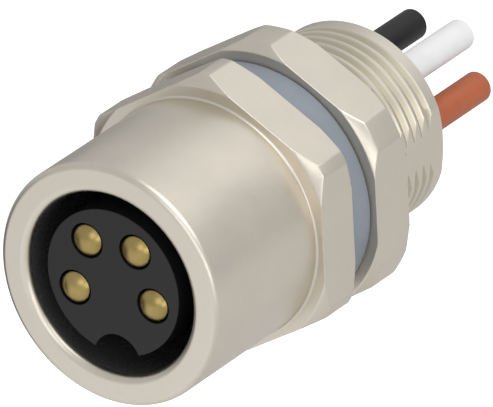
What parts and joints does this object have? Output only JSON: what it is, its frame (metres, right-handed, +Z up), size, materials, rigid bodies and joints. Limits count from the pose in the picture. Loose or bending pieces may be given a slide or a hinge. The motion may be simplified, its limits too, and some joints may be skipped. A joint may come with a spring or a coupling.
{
  "type": "m8 circular panel connector",
  "caption": "Panel-mount circular connector: plated hex-flanged shell with a keyed contact insert, gold contacts, seal ring, lock nut on a fine-threaded shank, and short insulated wire stubs.",
  "frame": {"origin": "on the connector's axis, in the plane of the hex flange's rear face, which is the panel seat", "axes": "+Y along the axis from the mating face to the wires, +Z up with the keyway straight down, +X to the right when looking at the mating face, through a flat of each hexagon and the flat of the thread"},
  "size_m": [0.0102, 0.0217, 0.0112],
  "materials": {
    "nickel_plate": "satin nickel plate over turned brass",
    "seal_rubber": "matt blue-grey moulded rubber",
    "insert_black": "black moulded polyamide",
    "retainer_natural": "natural moulded plastic",
    "o_ring_rubber": "black nitrile rubber",
    "potting_black": "cast black epoxy resin",
    "contact_gold": "polished gold plate",
    "solder_tin": "solidified tin solder",
    "strand_copper": "bare stranded copper",
    "insulation_black": "extruded soft vinyl",
    "insulation_white": "extruded soft vinyl",
    "insulation_brown": "extruded soft vinyl",
    "insulation_blue": "extruded soft vinyl"
  },
  "bodies": {
    "connector": {"shell_body": "nickel_plate", "panel_seal": "seal_rubber", "socket_liner": "insert_black", "contact_insert": "insert_black", "contact_retainer": "retainer_natural", "inner_o_ring": "o_ring_rubber", "potting_compound": "potting_black", "contact_black": "contact_gold", "contact_white": "contact_gold", "contact_brown": "contact_gold", "contact_blue": "contact_gold", "solder_black": "solder_tin", "solder_white": "solder_tin", "solder_brown": "solder_tin", "solder_blue": "solder_tin", "conductor_black": "strand_copper", "conductor_white": "strand_copper", "conductor_brown": "strand_copper", "conductor_blue": "strand_copper", "insulation_black": "insulation_black", "insulation_white": "insulation_white", "insulation_brown": "insulation_brown", "insulation_blue": "insulation_blue"},
    "lock_nut": {"lock_nut": "nickel_plate"}
  },
  "joints": [
    {"name": "lock_nut_turn", "type": "hinge", "parent": "connector", "child": "lock_nut", "pos_m": [0, 0.0024, 0], "axis": [0, 1, 0], "continuous": true}
  ]
}
